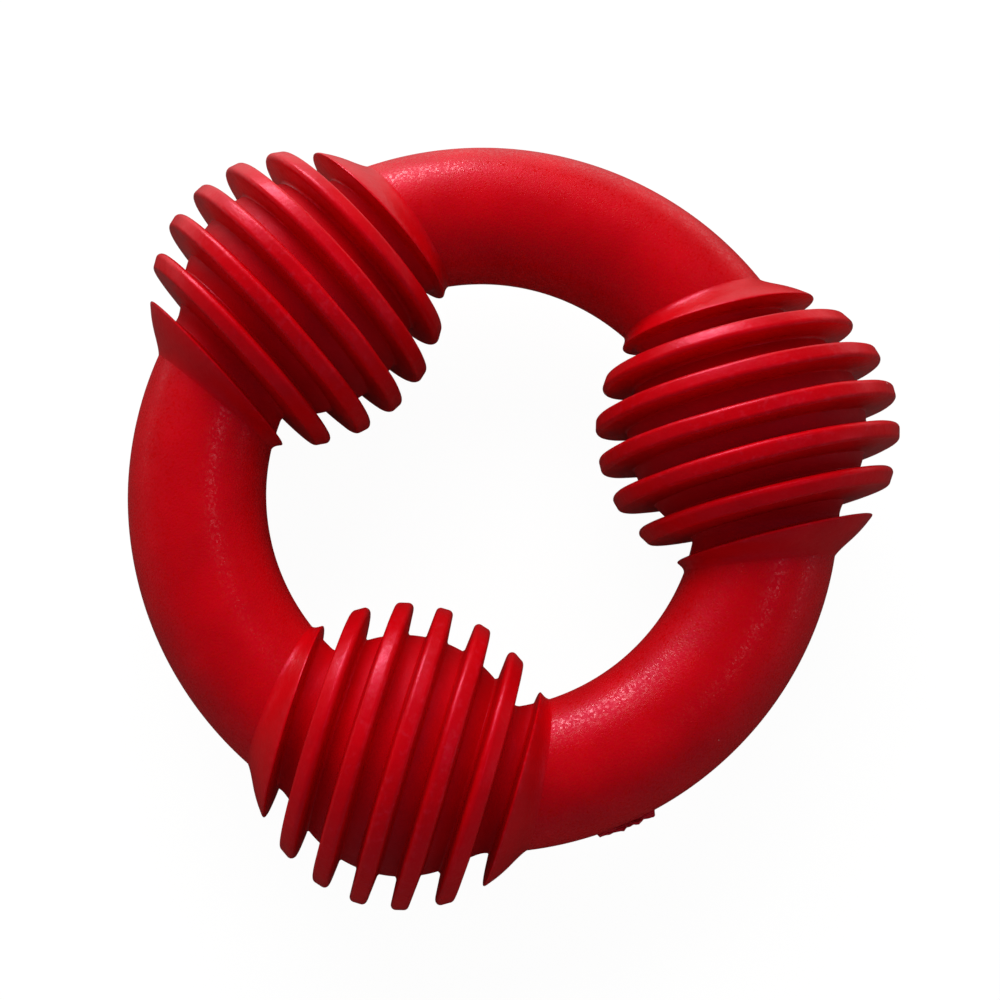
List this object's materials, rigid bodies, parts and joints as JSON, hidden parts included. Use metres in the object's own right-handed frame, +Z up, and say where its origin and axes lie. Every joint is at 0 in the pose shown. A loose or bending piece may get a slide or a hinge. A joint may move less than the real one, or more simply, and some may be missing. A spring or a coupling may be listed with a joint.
{
  "type": "rubber chew toy",
  "caption": "Solid rubber chew ring: a round bar bent into a circle, with ribbed balls evenly spaced on it whose free fins and pointed end collars stand on round cores.",
  "frame": {"origin": "middle of the ring, on the plane that the bar's centreline lies in", "axes": "+Z up, square to the ring's plane; +Y from the middle to ball 1; balls 2 and 3 follow anticlockwise seen from above, and arm 1 lies between balls 1 and 2"},
  "size_m": [0.1254, 0.1264, 0.0486],
  "materials": {
    "red_rubber": "solid natural rubber, compression moulded; satin, with a fine eroded grain on the bar and smoother, slightly glossier fins and collars"
  },
  "bodies": {
    "root": {"ring_arm_1": "red_rubber", "ring_arm_2": "red_rubber", "ring_arm_3": "red_rubber", "ball_1_core": "red_rubber", "ball_2_core": "red_rubber", "ball_3_core": "red_rubber", "ball_1_left_collar": "red_rubber", "ball_1_right_collar": "red_rubber", "ball_2_left_collar": "red_rubber", "ball_2_right_collar": "red_rubber", "ball_3_left_collar": "red_rubber", "ball_3_right_collar": "red_rubber", "ball_1_fin_1": "red_rubber", "ball_1_fin_2": "red_rubber", "ball_1_fin_3": "red_rubber", "ball_1_fin_4": "red_rubber", "ball_1_fin_5": "red_rubber", "ball_2_fin_1": "red_rubber", "ball_2_fin_2": "red_rubber", "ball_2_fin_3": "red_rubber", "ball_2_fin_4": "red_rubber", "ball_2_fin_5": "red_rubber", "ball_3_fin_1": "red_rubber", "ball_3_fin_2": "red_rubber", "ball_3_fin_3": "red_rubber", "ball_3_fin_4": "red_rubber", "ball_3_fin_5": "red_rubber", "gate_vestige": "red_rubber"}
  },
  "joints": []
}
